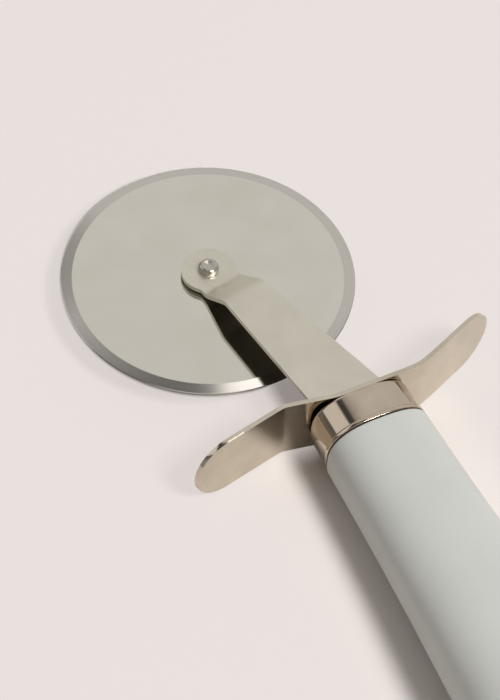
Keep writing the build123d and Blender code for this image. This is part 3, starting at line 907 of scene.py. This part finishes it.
# %% Lay the table
TABLE_HALF = 3.0
rest_front = Vector((48.2, 0, -9.77))
rest_back = Vector((148.0, 0, -13.6))
pitch = math.atan2(rest_front.z - rest_back.z, rest_back.x - rest_front.x)
table_bm = bmesh.new()
bmesh.ops.create_grid(table_bm, x_segments=1, y_segments=1, size=TABLE_HALF)
bmesh.ops.rotate(table_bm, cent=(0, 0, 0), matrix=Matrix.Rotation(pitch, 3, "Y"), verts=table_bm.verts)
bmesh.ops.translate(table_bm, vec=at(*rest_front), verts=table_bm.verts)
table_mesh = bpy.data.meshes.new("table")
table_bm.to_mesh(table_mesh)
table_bm.free()
table_mesh.materials.append(table_material)
table = bpy.data.objects.new("table", table_mesh)
bpy.context.scene.collection.objects.link(table)
print("table pitch", round(math.degrees(pitch), 2), "degrees")

# %% [markdown]
# ## Light
# Polished steel shows the room more than the lamps. A large pale wall stands beyond the cutter: the wheel and
# the arm mirror it. Two soft gaps in it give the steel darker patches to mirror. A smaller pale card on the
# left gives the ferrule its light patch, and the gap between card and wall gives the dark band beside it. A
# tube lamp hangs almost overhead and flashes on the wheel's bevel. A small pale patch is straight above, and
# the near side of the room has a dim band low down. One soft lamp stands high on the viewer's right, so the
# shadows fall away to the left. Matte surfaces get a little less of the room than steel mirrors, which keeps
# the lamp's shadows deep. Dim cards to the left, to the right and behind the camera are there for the mirrors
# alone, so that the steel looks like steel from every side. The room is only a level for each direction: that
# is simpler than building walls, and nothing of it stands in the way of another view.

# %% Room
away = -near
world = bpy.data.worlds.new("room")
bpy.context.scene.world = world
world.use_nodes = True
room = world.node_tree
room.nodes.clear()
direction = add_node(room, "ShaderNodeTexCoord").outputs["Generated"]


def ramp_along(axis, first, last, low_level, high_level):
    """Level that changes smoothly as a direction turns towards an axis."""
    dot = add_node(room, "ShaderNodeVectorMath", {"operation": "DOT_PRODUCT"}, links={0: direction})
    dot.inputs[1].default_value = axis
    return add_node(
        room, "ShaderNodeMapRange", {"interpolation_type": "SMOOTHSTEP"},
        {"From Min": first, "From Max": last, "To Min": low_level, "To Max": high_level},
        {"Value": dot.outputs["Value"]}).outputs["Result"]


def facing(place):
    """A direction given as right, away and up."""
    return (right * place[0] + away * place[1] + up * place[2]).normalized()


def patch(place, radius_degrees, soft_degrees, level, around=0.0):
    """Round patch of one level around a direction, with a soft edge to the level around it."""
    inner, outer = radius_degrees - soft_degrees / 2, radius_degrees + soft_degrees / 2
    return ramp_along(
        facing(place), math.cos(math.radians(outer)), math.cos(math.radians(inner)), around, level)


print("wall stands towards", [round(part, 2) for part in away])

# %% Wall and tube lamp of the room
TUBE_END_DEGREES = 2


def dimmed(light, *shares):
    """A light dimmed by one share after another."""
    for share in shares:
        light = add_node(
            room, "ShaderNodeMath", {"operation": "MULTIPLY"}, links={0: light, 1: share}).outputs[0]
    return light


def tube(first_end, last_end, half_width_degrees, soft_degrees, length_degrees, level):
    """Long narrow lamp between two directions."""
    ends = [facing(place) for place in (first_end, last_end)]
    across = ends[0].cross(ends[1]).normalized()
    middle = (ends[0] + ends[1]).normalized()
    wide = math.sin(math.radians(half_width_degrees))
    soft = math.sin(math.radians(soft_degrees))
    one_edge = ramp_along(across, -wide - soft, -wide, 0.0, 1.0)
    other_edge = ramp_along(across, wide, wide + soft, 1.0, 0.0)
    reach = [math.cos(math.radians(length_degrees + step)) for step in (TUBE_END_DEGREES, 0)]
    return dimmed(one_edge, other_edge, ramp_along(middle, reach[0], reach[1], 0.0, level))


wall = dimmed(
    ramp_along(away, 0.34, 0.575, 0.12, 0.8), patch((-0.33, 0.43, 0.84), 5, 3, 0.3, around=1.0),
    patch((-0.36, 0.64, 0.68), 9, 8, 0.55, around=1.0), ramp_along(right, -0.62, -0.38, 0.3, 1.0))
lamp_tube = tube((0.112, 0.50, 0.86), (0.124, 0.36, 0.927), 4.9, 0.6, 5.5, 1.8)
print("nodes of wall and tube", len(room.nodes))

# %% Cards of the room


def brightest(light, *others):
    """The brightest of several lights in each direction."""
    for other in others:
        light = add_node(
            room, "ShaderNodeMath", {"operation": "MAXIMUM"}, links={0: light, 1: other}).outputs[0]
    return light


left_card = brightest(patch((-0.72, 0.30, 0.625), 21, 4, 0.95), patch((-0.62, 0.05, 0.78), 11, 6, 0.9))
above = patch((0, 0.02, 1), 12, 8, 0.8)
near_band = dimmed(ramp_along(up, 0.55, 0.3, 0.0, 0.35), ramp_along(away, 0.1, -0.15, 0.0, 1.0))
mirror_cards = brightest(
    patch((0.8, 0.05, 0.57), 34, 16, 0.6), ramp_along(away, 0.0, -0.3, 0.0, 0.4),
    ramp_along(right, -0.8, -0.92, 0.0, 0.16))
print("nodes with the cards", len(room.nodes))

# %% Light from the room
MATTE_SHARE = 0.82
level = add_node(
    room, "ShaderNodeMath", {"operation": "ADD"},
    links={0: brightest(wall, left_card, above, near_band), 1: lamp_tube}).outputs[0]
on_matte = add_node(
    room, "ShaderNodeMath", {"operation": "MULTIPLY"}, {1: MATTE_SHARE}, {0: level}).outputs[0]
in_mirrors = brightest(level, mirror_cards)
rays = add_node(room, "ShaderNodeLightPath")
level = add_node(
    room, "ShaderNodeMix", links={0: rays.outputs["Is Diffuse Ray"], 2: in_mirrors, 3: on_matte}).outputs[0]
glow = add_node(
    room, "ShaderNodeBackground", values={"Color": linear("#FFFDFA")}, links={"Strength": level})
add_node(room, "ShaderNodeOutputWorld", links={"Surface": glow.outputs["Background"]})
print("matte surfaces get", MATTE_SHARE, "of the room")

# %% Lamp
LAMP_PLACE_MM, LAMP_AIM_MM = (1140, -840, 1780), (30, -20, 0)
LAMP_SIZE_MM, LAMP_WATTS = 600, 45.5
lamp_data = bpy.data.lights.new("key_lamp", "AREA")
lamp_data.shape = "SQUARE"
lamp_data.size = LAMP_SIZE_MM * MM
lamp_data.energy = LAMP_WATTS
lamp = bpy.data.objects.new("key_lamp", lamp_data)
lamp_place, lamp_aim = [
    HUB + (right * place[0] + away * place[1] + up * place[2]) * MM for place in (LAMP_PLACE_MM, LAMP_AIM_MM)]
lamp_turn = (lamp_aim - lamp_place).to_track_quat("-Z", "Y").to_matrix().to_4x4()
lamp.matrix_world = Matrix.Translation(lamp_place) @ lamp_turn
bpy.context.scene.collection.objects.link(lamp)
print("lamp", round((lamp_place - lamp_aim).length, 2), "m from the cutter")

# %% [markdown]
# ## View
# The Standard view shows a colour about as it is written.

# %% View settings
bpy.context.scene.view_settings.view_transform = "Standard"
